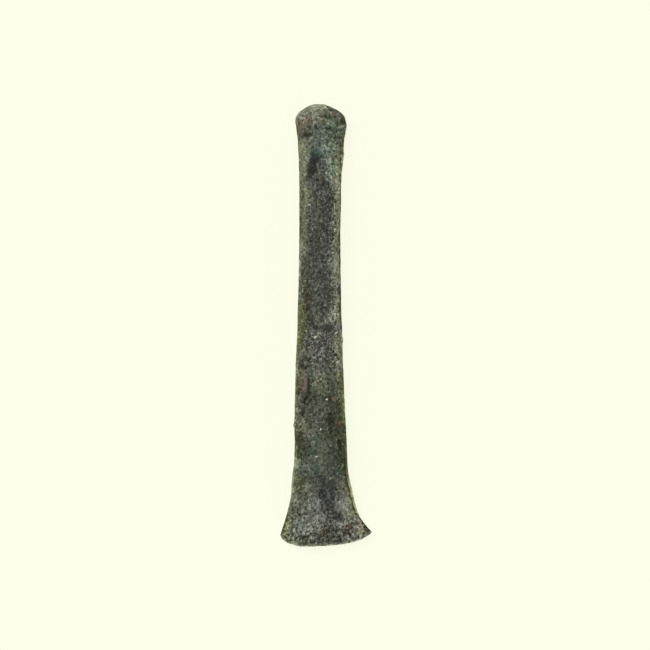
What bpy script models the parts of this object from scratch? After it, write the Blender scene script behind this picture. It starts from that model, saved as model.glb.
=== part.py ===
"""A cast copper-alloy chisel with a mallet-spread butt and a flared cutting edge, lying on its back.

Metres, +Z up. The tool runs along Y, with the butt towards +Y and the cutting edge towards -Y.
Its front face looks up, its flat back lies on Z = 0, and the origin is under the middle of its box.
"""

import math

import bmesh
import bpy

# Whole tool
LENGTH = 0.160  # crown of the butt to the furthest point of the cutting edge

# Butt, domed and spread by the mallet
HEAD_WIDTH = 0.0182
HEAD_THICKNESS = 0.0124
DOME_HEIGHT = 0.0075  # crown down to the widest line
CROWN_FLAT = 0.0032  # width of the struck spot on top of the dome
CROWN_SHIFT = 0.0012  # the struck spot sits this far towards -X
SPREAD_FADE = 0.0109  # distance in which the spread falls to about a third
NECK_LENGTH = 0.024  # below the widest line, where the spread dies away

# Shaft
WAIST_WIDTH = 0.0146
WAIST_FROM_BUTT = 0.0525
SHAFT_THICKNESS = 0.0112
FOOT_WIDTH = 0.0192  # where the shaft meets the flare
BOW = 0.0005  # the middle of the shaft bends this far towards -X
BLADE_SHIFT = 0.0004  # the blade ends this far towards -X of the butt
FACE_CROWN = 0.0003  # the front face is this much higher along its middle

# Blade, measured back from the cutting edge
TAPER_LENGTH = 0.066  # both faces start to close here
FLARE_LENGTH = 0.0330
BEVEL_LENGTH = 0.0075
BEVEL_THICKNESS = 0.0034  # at the back of the cutting bevel
EDGE_THICKNESS = 0.0008  # the edge is worn blunt
LEFT_REACH = 0.0146  # tool's axis to the left corner
RIGHT_REACH = 0.0186
RIGHT_HOOK = 0.0037  # how much of that is drawn out sharply, close to the corner
LEFT_SETBACK = 0.0043  # how far each corner lies behind the furthest point of the edge
RIGHT_SETBACK = 0.0052
EDGE_PEAK = -0.0043  # the furthest point of the edge, from the tool's axis

# Long chamfers beaten onto the four arrises
CHAMFER_LEFT = 0.0030
CHAMFER_RIGHT = 0.0021
CHAMFER_FOOT = 0.0014  # what is left of them where the flare begins
CHAMFER_CORNER = 0.0032  # they widen again towards the corners
CHAMFER_DEPTH = 0.0024
HEAD_ROUNDING = 0.0018  # extra width and depth of the chamfers at the butt
WALL_LEAN = 0.0008  # the right wall of the flare leans out towards its foot
ARRIS_RADIUS = 0.0007
HEAD_ARRIS_RADIUS = 0.0030  # blows have rounded the arrises of the butt

# Form of the curves, in degrees or without units
FOOT_POWER = 1.25
LEFT_FLARE_POWER = 2.4
RIGHT_FLARE_POWER = 1.5
HOOK_POWER = 7.0
LEFT_EDGE_ARC = 82  # degrees of an ellipse between the edge's furthest point and the corner
RIGHT_EDGE_ARC = 78.5
TAPER_POWER = 1.45
ARRIS_LIMIT = 0.4  # most of a short side that the rounding of its end may take
SMOOTH_ANGLE = 50  # degrees; sharper turns between faces are shaded as edges

# Mesh steps
DOME_STEPS = 9
NECK_STEPS = 10
SHAFT_STEPS = 14
TAPER_STEPS = 9
FLARE_STEPS = 13
BEVEL_STEPS = 5
FACE_STEPS = 8
CHAMFER_STEPS = 3
CORNER_STEPS = 3
WALL_STEPS = 2  # leaves one point half way up each side wall

NECK_END = DOME_HEIGHT + NECK_LENGTH
TAPER_START = LENGTH - TAPER_LENGTH
FLARE_START = LENGTH - FLARE_LENGTH
BEVEL_START = LENGTH - BEVEL_LENGTH


def ease(value):
    """Runs smoothly from 0 to 1, flat at both ends."""
    value = min(1.0, max(0.0, value))
    return value * value * (3.0 - 2.0 * value)


def spread(along):
    """Share of the butt's spread left at this distance from the crown."""
    return math.exp(-max(0.0, along - DOME_HEIGHT) / SPREAD_FADE)


def flare(along):
    """How far along the flare a station lies, from 0 at its start to 1 at the cutting edge."""
    return min(1.0, max(0.0, (along - FLARE_START) / FLARE_LENGTH))


def reaches(along):
    """Distances from the tool's axis to the left and right outlines."""
    below_waist = (along - WAIST_FROM_BUTT) / (FLARE_START - WAIST_FROM_BUTT)
    widening = min(1.0, max(0.0, below_waist)) ** FOOT_POWER
    shaft = (WAIST_WIDTH + (FOOT_WIDTH - WAIST_WIDTH) * widening) / 2
    shaft += (HEAD_WIDTH - WAIST_WIDTH) / 2 * spread(along)
    out = flare(along)
    left = shaft + (LEFT_REACH - FOOT_WIDTH / 2) * out**LEFT_FLARE_POWER
    right = shaft + (RIGHT_REACH - RIGHT_HOOK - FOOT_WIDTH / 2) * out**RIGHT_FLARE_POWER
    right += RIGHT_HOOK * out**HOOK_POWER
    return left, right


def axis_offset(along):
    """Where the tool's axis runs: a gentle bow along the shaft and a blade a little to one side."""
    share = min(1.0, along / FLARE_START)
    return -BOW * math.sin(math.pi * share) - BLADE_SHIFT * along / LENGTH


def thickness(along):
    """Full thickness of the tool at a station."""
    if along >= BEVEL_START:
        share = (along - BEVEL_START) / BEVEL_LENGTH
        return BEVEL_THICKNESS + (EDGE_THICKNESS - BEVEL_THICKNESS) * share
    if along > TAPER_START:
        share = (along - TAPER_START) / (BEVEL_START - TAPER_START)
        return SHAFT_THICKNESS - (SHAFT_THICKNESS - BEVEL_THICKNESS) * share**TAPER_POWER
    return SHAFT_THICKNESS + (HEAD_THICKNESS - SHAFT_THICKNESS) * spread(along)


def back_height(along):
    """Height of the back face: on the ground along the shaft, rising as the blade closes."""
    if along <= TAPER_START:
        return 0.0
    return (SHAFT_THICKNESS - thickness(along)) / 2


def chamfers(along):
    """Plan widths of the left and right chamfers, and their depth."""
    fading = ease(along / FLARE_START)
    corner = flare(along) ** 2
    extra = HEAD_ROUNDING * spread(along)
    widths = []
    for upper in (CHAMFER_LEFT, CHAMFER_RIGHT):
        width = upper + (CHAMFER_FOOT - upper) * fading + extra
        widths.append(width + (CHAMFER_CORNER - CHAMFER_FOOT) * corner)
    depth = (CHAMFER_DEPTH + extra) * thickness(along) / max(SHAFT_THICKNESS, thickness(along))
    return widths[0], widths[1], depth


def edge_setback(along, across):
    """How far a point at this distance from the axis lags behind its station as the edge curves."""
    left, right = reaches(along)
    out = flare(along)
    peak = EDGE_PEAK * out
    if across < peak:
        share, depth, degrees = (peak - across) / (left + peak), LEFT_SETBACK, LEFT_EDGE_ARC
    else:
        share, depth, degrees = (across - peak) / (right - peak), RIGHT_SETBACK, RIGHT_EDGE_ARC
    corner = math.radians(degrees)
    angle = math.asin(min(1.0, share) * math.sin(corner))
    return depth * out * (1 - math.cos(angle)) / (1 - math.cos(corner))


def between(start, end, steps):
    """Points strictly between two points, for a straight side of the section."""
    return [
        tuple(a + (b - a) * i / steps for a, b in zip(start, end))
        for i in range(1, steps)
    ]


def rounded_corner(before, corner, after, radius):
    """A corner of the section turned into a parabolic arc of about this radius."""
    arc = []
    ends = []
    for neighbour in (before, after):
        run = math.dist(corner, neighbour)
        share = min(radius / run, ARRIS_LIMIT)
        ends.append(tuple(c + (n - c) * share for c, n in zip(corner, neighbour)))
    for i in range(CORNER_STEPS + 1):
        t = i / CORNER_STEPS
        arc.append(
            tuple(
                (1 - t) ** 2 * a + 2 * t * (1 - t) * c + t * t * b
                for a, c, b in zip(ends[0], corner, ends[1])
            )
        )
    return arc


def section(along):
    """Closed loop of (across, height) points: the front from left to right, then the back."""
    left, right = reaches(along)
    chamfer_left, chamfer_right, depth = chamfers(along)
    low = back_height(along)
    high = low + thickness(along)
    lean = WALL_LEAN * math.sin(math.pi * flare(along)) ** 2
    corners = [
        (-left, high - depth),
        (-left + chamfer_left, high),
        (right - chamfer_right - lean, high),
        (right - lean, high - depth),
        (right, low + depth),
        (right - chamfer_right, low),
        (-left + chamfer_left, low),
        (-left, low + depth),
    ]
    radius = ARRIS_RADIUS + (HEAD_ARRIS_RADIUS - ARRIS_RADIUS) * spread(along)
    arcs = [
        rounded_corner(corners[i - 1], corners[i], corners[(i + 1) % len(corners)], radius)
        for i in range(len(corners))
    ]
    steps = [CHAMFER_STEPS, FACE_STEPS, CHAMFER_STEPS, WALL_STEPS] * 2
    loop = []
    for i, arc in enumerate(arcs):
        next_arc = arcs[(i + 1) % len(arcs)]
        loop += arc + between(arc[-1], next_arc[0], steps[i])
    middle = (right - left) / 2
    half = (left + right) / 2
    crowned = []
    for across, height in loop:
        rise = FACE_CROWN * thickness(along) / SHAFT_THICKNESS * ((across - middle) / half) ** 2
        crowned.append((across, height - rise * ease((height - low) / (high - low) * 2 - 1)))
    return crowned


def stations():
    """Distances from the crown of the sections below the dome, closer where the form turns."""
    spans = [
        (DOME_HEIGHT, NECK_END, NECK_STEPS),
        (NECK_END, TAPER_START, SHAFT_STEPS),
        (TAPER_START, FLARE_START, TAPER_STEPS),
        (FLARE_START, BEVEL_START, FLARE_STEPS),
        (BEVEL_START, LENGTH, BEVEL_STEPS),
    ]
    found = [DOME_HEIGHT]
    for start, end, steps in spans:
        found += [start + (end - start) * i / steps for i in range(1, steps + 1)]
    return found


def dome_loops():
    """The widest section drawn in towards the crown along a quarter ellipse."""
    widest = section(DOME_HEIGHT)
    middle = HEAD_THICKNESS / 2
    flat_angle = math.asin(CROWN_FLAT / HEAD_WIDTH)
    drop = 1 - math.cos(flat_angle)
    loops = []
    for i in range(DOME_STEPS):
        angle = flat_angle + (math.pi / 2 - flat_angle) * i / DOME_STEPS
        scale = math.sin(angle)
        along = DOME_HEIGHT * (1 - math.cos(angle) - drop) / (1 - drop)
        offset = axis_offset(along) - CROWN_SHIFT * (1 - scale)
        loops.append(
            [
                (across * scale + offset, -along, middle + (height - middle) * scale)
                for across, height in widest
            ]
        )
    return loops


def body_loops():
    """Every section from the widest line of the butt to the cutting edge."""
    return [
        [
            (across + axis_offset(along), edge_setback(along, across) - along, height)
            for across, height in section(along)
        ]
        for along in stations()
    ]


def close_edge(mesh, loop):
    """Faces the blunt cutting edge, pairing each point of the front with its twin on the back."""
    count = len(loop)
    front_count = count // 2 - 1
    front = loop[:front_count]
    right_wall = loop[front_count]
    back = loop[front_count + 1 : count - 1][::-1]
    left_wall = loop[-1]
    mesh.faces.new((front[0], left_wall, back[0]))
    for i in range(front_count - 1):
        mesh.faces.new((front[i + 1], front[i], back[i], back[i + 1]))
    mesh.faces.new((right_wall, front[-1], back[-1]))


def chisel_mesh():
    """The loops joined into one closed skin and set with the origin under the middle of its box."""
    mesh = bmesh.new()
    rings = [[mesh.verts.new(point) for point in loop] for loop in dome_loops() + body_loops()]
    for upper, lower in zip(rings, rings[1:]):
        for i in range(len(upper)):
            following = (i + 1) % len(upper)
            mesh.faces.new((upper[i], upper[following], lower[following], lower[i]))
    mesh.faces.new(rings[0][::-1])
    close_edge(mesh, rings[-1])
    lows = [min(v.co[axis] for v in mesh.verts) for axis in range(3)]
    highs = [max(v.co[axis] for v in mesh.verts) for axis in range(3)]
    centre = [(low + high) / 2 for low, high in zip(lows, highs)]
    bmesh.ops.translate(mesh, verts=mesh.verts, vec=(-centre[0], -centre[1], -lows[2]))
    bmesh.ops.recalc_face_normals(mesh, faces=mesh.faces)
    data = bpy.data.meshes.new("chisel")
    mesh.to_mesh(data)
    mesh.free()
    data.shade_smooth()
    data.set_sharp_from_angle(angle=math.radians(SMOOTH_ANGLE))
    return data


def patina():
    """Dull grey-green corrosion on copper alloy."""
    material = bpy.data.materials.new("bronze_patina")
    material.use_nodes = True
    shader = material.node_tree.nodes["Principled BSDF"]
    shader.inputs["Base Color"].default_value = (0.085, 0.092, 0.072, 1.0)
    shader.inputs["Metallic"].default_value = 0.15
    shader.inputs["Roughness"].default_value = 0.8
    return material


def build():
    for item in list(bpy.data.objects):
        bpy.data.objects.remove(item)
    chisel = bpy.data.objects.new("chisel", chisel_mesh())
    chisel.data.materials.append(patina())
    bpy.context.scene.collection.objects.link(chisel)


build()
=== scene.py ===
import math

import bpy
import numpy as np
from mathutils import Matrix, Vector, noise
from mathutils.bvhtree import BVHTree


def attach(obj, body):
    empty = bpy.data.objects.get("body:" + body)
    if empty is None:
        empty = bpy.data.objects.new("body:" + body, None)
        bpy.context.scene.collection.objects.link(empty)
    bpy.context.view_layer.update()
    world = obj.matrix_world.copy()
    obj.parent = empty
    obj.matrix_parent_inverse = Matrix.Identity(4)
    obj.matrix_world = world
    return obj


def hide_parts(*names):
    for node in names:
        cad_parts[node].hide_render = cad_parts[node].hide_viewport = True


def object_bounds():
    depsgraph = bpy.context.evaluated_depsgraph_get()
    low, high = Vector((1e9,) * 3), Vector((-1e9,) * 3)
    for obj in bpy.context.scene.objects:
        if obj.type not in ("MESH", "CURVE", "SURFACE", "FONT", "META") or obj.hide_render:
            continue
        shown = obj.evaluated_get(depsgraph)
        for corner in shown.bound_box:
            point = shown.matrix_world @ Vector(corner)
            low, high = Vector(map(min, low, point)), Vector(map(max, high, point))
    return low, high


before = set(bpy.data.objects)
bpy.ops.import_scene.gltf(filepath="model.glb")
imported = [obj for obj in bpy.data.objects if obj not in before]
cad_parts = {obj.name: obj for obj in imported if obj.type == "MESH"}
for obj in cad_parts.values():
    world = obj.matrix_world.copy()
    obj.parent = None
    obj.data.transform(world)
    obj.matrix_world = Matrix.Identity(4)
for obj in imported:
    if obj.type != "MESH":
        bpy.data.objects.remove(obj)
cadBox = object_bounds()
print("frame loaded")

# The chisel lies on its back with the butt towards +Y. Below, places on it are in millimetres: across
# counts from the middle of its box, down from the crown of the butt towards the cutting edge.
mm = 0.001


def toLinear(hexColour):
    # an sRGB hex value as the linear colour that a shader wants
    parts = [int(hexColour[i : i + 2], 16) / 255 for i in (1, 3, 5)]
    return tuple(p / 12.92 if p <= 0.04045 else ((p + 0.055) / 1.055) ** 2.4 for p in parts) + (1.0,)


def fade(value, start, end):
    # runs smoothly from 0 at start to 1 at end, and the other way when start is the larger
    share = np.clip((value - start) / (end - start), 0.0, 1.0)
    return share * share * (3.0 - 2.0 * share)


def cloud(points, size, octaves=1, seed=0, stretch=1.0):
    # soft noise from about -1 to 1; size in mm, stretch makes it longer down the tool
    shift = Vector((31.7, 11.3, 7.9)) * seed
    scaled = points / np.array([size, size * stretch, size])
    return np.array([noise.fractal(Vector(p) + shift, 0.9, 2.0, octaves) for p in scaled])


def cells(points, size, seed=0):
    # distance to the nearest of scattered centres, which lie about size mm apart
    shift = Vector((5.3, 17.9, 23.1)) * seed
    return np.array([noise.voronoi(Vector(p) + shift)[0][0] for p in points / size])


def intoScene(name, data):
    thing = bpy.data.objects.new(name, data)
    bpy.context.scene.collection.objects.link(thing)
    return thing


# The skin of the tool, taken from the solid

skin = {
    "voxel": 0.335,        # mm between its points
    "relaxing": 4,         # passes that ease the solid's facets away
    "relaxingMore": 14,    # and those at the butt and on the blade's thin corners, where facets would show
    "buttEnd": (10.0, 6.0),          # mm down over which they fade out at the butt
    "cornersStart": (140.0, 146.0),  # mm down over which they fade in at the corners
    "thinRim": (1.8, 1.0),           # mm in from the outline over which they fade out there
    "crust": 0.12,         # mm of corrosion crust over the solid
    "hammerSize": 9.0,     # mm across a hammered dip
    "hammerDepth": 0.12,
    "lumpSize": 3.2,       # mm, uneven corrosion crust
    "lumpDepth": 0.07,
    "grainSize": 1.1,
    "grainDepth": 0.05,
    "pitSpacing": 1.5,     # mm between corrosion pits
    "pitWall": (0.42, 0.12),  # shares of that from a pit's middle to its rim and to its floor
    "pitDepth": 0.18,
    "pitted": 0.35,        # share of the pits everywhere, and what is added to it
    "pittedEdge": 0.65,    # in the rough band near the cutting edge,
    "pittedNetBand": 0.3,  # in the band of pale net
    "pittedPatchy": 0.5,   # and in drifts
    "edgeBandStart": (146.5, 152.0),  # mm down over which the rough band fades in
    "netBandMiddle": 90,   # mm down
    "netBandReach": (9, 4),  # mm from that over which the band fades out
    "cupriteRise": 0.06,   # mm that these stand over the crust
    "gritAndGlintRise": 0.05,
    "sagReach": 5,         # passes that average the relief round a point, to tell hollows from bumps
    "restingEase": 0.10,   # mm that the back is drawn in, so that its high points touch the ground
    "levelling": 6,        # passes that take the jitter off the normals that the outline spreads along
    "levelLeast": 0.25,    # a normal less level than this spreads less
}


def netFromSolid(solid):
    # an even net of points over the solid, in mm, drawn onto it so that its arrises have no stair steps
    source = intoScene("solidCopy", solid.data.copy())
    source.data.transform(Matrix.Scale(1 / mm, 4))
    remesh = source.modifiers.new("evenNet", "REMESH")
    remesh.mode = "VOXEL"
    remesh.voxel_size = skin["voxel"]
    shown = source.evaluated_get(bpy.context.evaluated_depsgraph_get())
    net = bpy.data.meshes.new_from_object(shown)
    corners = [corner.co for corner in source.data.vertices]
    surface = BVHTree.FromPolygons(corners, [list(face.vertices) for face in source.data.polygons])
    for point in net.vertices:
        point.co = surface.find_nearest(point.co)[0]
    bpy.data.objects.remove(source)
    return net


def read(items, name, width, kind=float):
    # what the mesh holds under that name for each of its points or edges, a row for each
    rows = np.zeros(len(items) * width, kind)
    items.foreach_get(name, rows)
    return rows.reshape(-1, width)


def writePoints(mesh, points):
    mesh.vertices.foreach_set("co", points.astype(np.float32).ravel())
    mesh.update()


def neighbourMean(values, edges):
    # the mean of each point's neighbours
    count = np.bincount(edges.ravel(), minlength=len(values))
    total = np.zeros_like(values)
    for axis in range(values.shape[1]):
        total[:, axis] = np.bincount(edges[:, 0], values[edges[:, 1], axis], len(values))
        total[:, axis] += np.bincount(edges[:, 1], values[edges[:, 0], axis], len(values))
    return total / count[:, None]


def steady(values, edges, passes):
    # values averaged over an ever wider circle of neighbours
    for _ in range(passes):
        values = neighbourMean(values, edges)
    return values


def relax(points, edges, passes):
    # smoothing that gives back what it shrinks
    for i in range(passes * 2):
        push = 0.5 if i % 2 == 0 else -0.52
        points = points + push * (neighbourMean(points, edges) - points)
    return points


net = netFromSolid(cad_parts["chisel"])
edges = read(net.edges, "vertices", 2, np.int64)
highest = np.array(cadBox[1]) / mm
rough = read(net.vertices, "co", 3)
points = relax(rough, edges, skin["relaxing"])
butt = fade(highest[1] - rough[:, 1], *skin["buttEnd"])[:, None]
points += butt * (relax(rough, edges, skin["relaxingMore"]) - points)
writePoints(net, points)
normals = read(net.vertex_normals, "vector", 3)
print("skin drawn over the solid:", len(points), "points")

across = points[:, 0]
down = highest[1] - points[:, 1]
slope = normals[:, 2]  # 1 where the skin faces up, 0 on the walls, -1 where it faces down
facing = fade(slope, -0.25, 0.25)  # 1 on the front, 0 on the back
seen = fade(slope + 0.25 * cloud(points, 2.5, 2, seed=9), -0.15, 0.25)  # the same, but ragged on the walls


def outline(place, reach):
    # the furthest reach of the skin at each place down or across the tool
    perMm = 2  # rows to the millimetre
    rows = np.minimum((place * perMm).astype(int), int(2 * highest[1] * perMm) - 1)
    furthest = np.full(rows.max() + 1, -np.inf)
    np.maximum.at(furthest, rows, reach)
    return np.interp(place, (np.arange(len(furthest)) + 0.5) / perMm, furthest)


fromLeft = across + outline(down, -across)
fromRight = outline(down, across) - across
fromEdge = outline(across - across.min(), down) - down


# Corrosion. Each patch is across, down, half width, half length, strength and, if it leans, degrees turned.

paleness = dict(  # paler mineral crust, or darker bare oxide where the strength is negative, part by part; on the crown some of it is painted light
    crown=dict(
        # whole, left and top are partly paler crust and partly painted light: the dome's upper left, which
        # faces the light, is drawn paler
        whole=(-4.5, 2.2, 7.5, 3.2, 0.15), left=(-7, 3.2, 4.2, 3, 0.1, 20), top=(-2.3, 1, 3, 1.2, 0.17),
        middle=(-0.9, 4, 1.8, 0.9, -0.19), leftLow=(-6, 4.1, 1, 1, -0.1),
        rightInner=(2.4, 2.7, 1, 0.9, -0.07),
    ),
    shoulders=dict(
        head=(-2, 7.5, 9, 5.5, 0.08), under=(-7.8, 10.6, 2, 1.6, -0.08), left=(-8.8, 4.4, 1.1, 1.5, 0.05, 20),
        leftInner=(-7.4, 7.2, 1, 2, 0.08), rightInner=(4.4, 5, 1.1, 1.5, 0.09),
        # leftLilacGlint is a painted highlight, the pale lilac glint at the left of the crown
        leftLilacGlint=(-9.5, 3.2, 0.9, 1.1, 0.1, 20), rightRim=(6.4, 4.4, 0.8, 1.4, 0.24),
        underInner=(-6.1, 10.8, 0.9, 0.9, 0.12), leftEdge=(-10.4, 6.5, 0.7, 1.2, 0.12),
        lipInner=(4.6, 8.7, 1.2, 0.7, 0.07),
    ),
    neck=dict(
        web=(-2.4, 14.8, 3.2, 3.4, 0.12), right=(2.4, 20.5, 2.5, 6.6, 0.18), top=(2.6, 10.8, 3, 1.8, -0.04),
        rightFlank=(6, 19, 1.8, 5, -0.08), leftPale=(-7.6, 18, 2, 6, 0.07),
        rightTan=(6.2, 19.8, 0.6, 1.7, 0.14), leftInner=(-4.6, 13.6, 1.6, 1.6, 0.08),
        topRight=(2.2, 8.1, 1.6, 0.8, 0.08), left=(-3.9, 13.1, 1.1, 1.2, -0.08),
        foot=(-3, 18.2, 1.2, 1.3, 0.13), across=(-3.6, 17.2, 5, 1.6, 0.03),
        rightLower=(3.8, 22.9, 1, 1.3, -0.17), rightUpper=(3.5, 18.4, 0.9, 2, -0.09),
        rightRim=(6.1, 18.4, 0.8, 3.4, 0.22), leftFlank=(-9, 20, 0.8, 2.6, -0.1, -10),
        topMiddle=(1.2, 7, 1.8, 1.5, 0.07), rightTop=(5.2, 12.3, 1.1, 1.6, 0.13),
        leftLow=(-5.8, 14, 0.8, 0.9, 0.13), middle=(-1.5, 14.7, 0.9, 0.8, -0.09),
        footRight=(0.6, 20.8, 1.8, 0.8, 0.09), spot=(1.5, 9.5, 0.8, 0.8, -0.11),
        band=(-0.2, 16.5, 2.2, 0.8, 0.08), topDark=(-2.6, 9.4, 1.4, 0.8, -0.06),
        leftRim=(-8.9, 12.8, 1.1, 1.4, -0.11),
    ),
    streak=dict(
        below=(-1.6, 28.6, 2.2, 2.2, -0.05), beside=(-6.4, 21.3, 1.1, 0.9, 0.05),
        rightOf=(2.4, 27.7, 1.1, 1.1, 0.28), shoulder=(-4.8, 19.7, 1.3, 1, 0.13),
        besideRight=(0.6, 25.4, 0.9, 2.2, 0.12), inner=(-3.8, 24.8, 0.9, 1, -0.11),
    ),
    leftFlank=dict(
        pale=(-6.6, 41, 1.3, 2.2, 0.05), dark=(-6.8, 45.8, 1.2, 2, -0.06), bend=(-8.7, 33, 1.2, 1.7, -0.09),
        middle=(-8.9, 46.2, 0.9, 2.2, -0.14), next=(-8.9, 51, 0.9, 1.5, 0.1),
        below=(-6.5, 66.5, 1, 1.4, -0.17), top=(-8.9, 38.8, 1, 1.2, 0.06),
        spotEdge=(-8.2, 62.8, 1, 0.9, -0.09), foot=(-9.2, 25, 0.8, 1.2, 0.12),
        low=(-8.3, 69.3, 1.1, 0.9, -0.12), upper=(-6.6, 31, 1, 3, 0.06), inner=(-7.8, 77.4, 0.9, 3, 0.07, 15),
    ),
    leftArris=dict(
        middle=(-5.5, 47.2, 0.9, 1.8, -0.1), low=(-6.5, 55.9, 1, 2.3, -0.11),
        upper=(-6.9, 44.4, 0.8, 1.2, 0.09), inner=(-6.2, 53.5, 0.9, 0.8, 0.09),
        lower=(-7.6, 57.8, 0.9, 1.1, -0.07),
    ),
    leftRim=dict(
        middle=(-9.5, 59.4, 0.6, 3.4, 0.3), underPatch=(-10.6, 105.2, 0.8, 1.1, -0.1),
        next=(-9.7, 110.6, 0.8, 0.9, 0.27), low=(-11, 120, 0.6, 1.5, -0.1),
        below=(-9.9, 83.8, 0.6, 1.2, 0.16), speckle=(-9.9, 114.2, 0.8, 1.2, -0.04),
        spot=(-9.4, 78.3, 0.7, 0.8, -0.07),
    ),
    face=dict(
        leftOf=(-6.2, 34, 1.3, 6.6, 0.07), right=(1.9, 42, 1.8, 10, -0.07), left=(-3.6, 47.5, 1.4, 5, -0.08),
        middle=(-0.8, 59.5, 1.5, 3.8, -0.08), darkMiddle=(-1, 37.6, 1.6, 2.4, -0.05),
        darkLeft=(-4.8, 50.2, 1.6, 3, -0.05), darkRight=(1.2, 50.2, 1.6, 3, -0.05),
        low=(1.2, 69.4, 1.6, 4.4, -0.06), corner=(-5.2, 80.3, 1.7, 2.4, -0.07),
        upperLeft=(-4.4, 29.4, 1, 1.7, 0.13, 35), rightUpper=(2.5, 34.7, 0.9, 1.2, -0.2),
        rightNext=(2.9, 37.6, 1.3, 0.9, 0.13), middleUpper=(-3.3, 38.3, 1.4, 1.1, -0.12),
        middleNext=(-0.4, 39.8, 1.3, 1.1, -0.08), inner=(-2.8, 43.7, 1.4, 1.2, 0.08),
        rightMiddle=(0.5, 47.2, 2.2, 2.2, -0.04), rightLow=(2.1, 50.4, 1.2, 1.3, 0.11),
        leftLow=(-2.9, 56.1, 1, 1, -0.1), faceRightNext=(2, 58, 1.9, 0.9, 0.12),
        leftBelow=(-3.5, 66.4, 0.9, 1.3, 0.13), aboveSpot=(0.6, 77.8, 1.4, 1.5, 0.17),
        aboveSpotLeft=(-2, 79.2, 1.2, 0.8, 0.19), rightTop=(1.6, 29.6, 0.8, 0.9, -0.1),
        top=(-2.3, 31.2, 0.9, 1, -0.1), topRight=(0.4, 32, 0.8, 1.4, 0.09),
        leftTop=(-4.3, 35.4, 0.8, 1.2, 0.06), faceRightUpper=(1.9, 41.2, 1, 0.7, 0.08),
        innerLow=(-3.7, 50.8, 1.1, 1.6, 0.08), spot=(-2, 61.5, 0.8, 0.8, 0.07),
        rightBend=(2.8, 61.9, 1.4, 0.8, -0.1, -30), spotDark=(-2.2, 64.1, 1, 1, -0.11),
        line=(-0.7, 72.4, 0.9, 1.6, -0.11), aboveSpotRight=(2.4, 79.2, 1.3, 0.8, 0.08),
        cornerDark=(-5.8, 27.6, 0.9, 0.9, -0.11), spotUpper=(-3.8, 60.6, 0.8, 0.9, -0.11),
        spotLow=(-0.9, 67.8, 0.9, 1, -0.13), cornerLow=(-5.6, 74.6, 0.9, 0.8, -0.11),
        lineLow=(-1.9, 74.6, 0.8, 1.3, -0.11), lowMiddle=(-3.8, 75, 2.2, 2.6, 0.04),
        middlePale=(-0.6, 58.9, 0.9, 0.9, 0.06), topDark=(-1.8, 53.2, 0.9, 0.9, -0.07),
    ),
    rightFlank=dict(
        gap=(4.6, 67.4, 0.9, 2, -0.12), pale=(5.4, 28.2, 1.5, 2.2, 0.08), low=(5.6, 74.5, 1.4, 4, -0.07),
        upper=(5.4, 37, 1.4, 2.8, 0.07), under=(6.2, 93.4, 1.2, 2, 0.08), next=(6.2, 98.2, 1.2, 2.2, -0.05),
        strip=(3.7, 59.3, 0.9, 4.8, 0.05), lower=(3.7, 93, 1.2, 1.4, 0.16),
        middle=(4.2, 45.6, 0.9, 1.3, 0.06), near=(3.9, 53.5, 1.1, 0.7, -0.08),
        spot=(3.1, 43, 1.3, 0.7, -0.09), bend=(5, 24.3, 0.8, 1.2, 0.1), spotPale=(3.9, 29.9, 0.8, 1.3, 0.09),
    ),
    rightRim=dict(
        green=(6, 107, 1.3, 2, 0.08), upper=(5, 26.8, 0.7, 1.6, -0.3), middle=(5.1, 69.3, 0.7, 1.6, -0.07),
        low=(5.5, 79.2, 0.5, 2.2, -0.3), paleLow=(6.7, 117, 0.7, 2.2, -0.14),
        bend=(5.3, 36.5, 0.5, 2.2, -0.18), net=(5.1, 75.1, 0.7, 0.9, 0.1), red=(6.3, 103.4, 0.6, 1.3, -0.15),
        line=(5.9, 112.9, 0.8, 0.9, 0.13), foot=(7.1, 123.2, 0.6, 1.2, -0.09),
        bump=(5.8, 86.2, 0.6, 3.4, 0.25), spot=(5.4, 83.3, 0.6, 0.7, 0.13),
    ),
    shaft=dict(
        rightNet=(2.6, 57.5, 1.3, 4.4, 0.07), rightPaleNet=(2.2, 76.4, 1.8, 2.6, 0.12),
        leftStrip=(-9.6, 82, 1, 7.5, 0.05), rightGap=(4.1, 65.3, 1.1, 1.8, 0.1),
        rightAboveNet=(3, 77.6, 1.2, 0.9, -0.14), rightBesideSpot=(3.3, 83.2, 1.1, 1.7, -0.15),
        leftAbovePatch=(-7.5, 95, 1.3, 1.2, 0.04), rightAboveRed=(4.6, 95.6, 0.9, 1.9, -0.05),
        rightNetTop=(2.9, 69.1, 0.9, 1, -0.12), glintField=(-2.5, 83.6, 0.8, 1, 0.18),
        leftLow=(-4.6, 68.8, 1.4, 1.2, -0.04, 30), rightNetDark=(2.7, 74.9, 0.9, 0.9, -0.06),
        spotRim=(-0.4, 82, 1.3, 0.8, -0.06), arris=(-5.8, 60.8, 0.8, 1, 0.07),
    ),
    netBand=dict(
        whole=(-1.4, 88, 5, 5, 0.03), under=(-7.4, 93.2, 2.8, 2, -0.09), rightOf=(2.4, 90.5, 2, 5, -0.07),
        above=(-1.2, 86.3, 2.3, 1.3, -0.18), aboveLeft=(-6.5, 88, 1.2, 1, -0.12),
        right=(2.9, 87.2, 1.9, 0.8, 0.16, -40), foot=(0.1, 91.8, 1.2, 1.5, -0.1),
        footLeft=(-4.5, 91.8, 0.8, 1, -0.09), inner=(-3.1, 88.6, 0.8, 1.2, -0.07),
        side=(3.5, 89.9, 1, 0.9, -0.09), leftRim=(-10.3, 92.8, 0.7, 4.4, 0.08),
        dark=(-1.8, 88.8, 0.7, 0.9, -0.07),
    ),
    lowShaft=dict(
        greyGreenBand=(-1.6, 101, 2, 4.2, 0.12), longPatch=(-7.9, 100.8, 1.1, 3.4, 0.13),
        holeLeft=(-7, 107.2, 1.8, 1.6, -0.14, 15), holeMiddle=(1.6, 113.8, 1.2, 2.2, -0.14),
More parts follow.
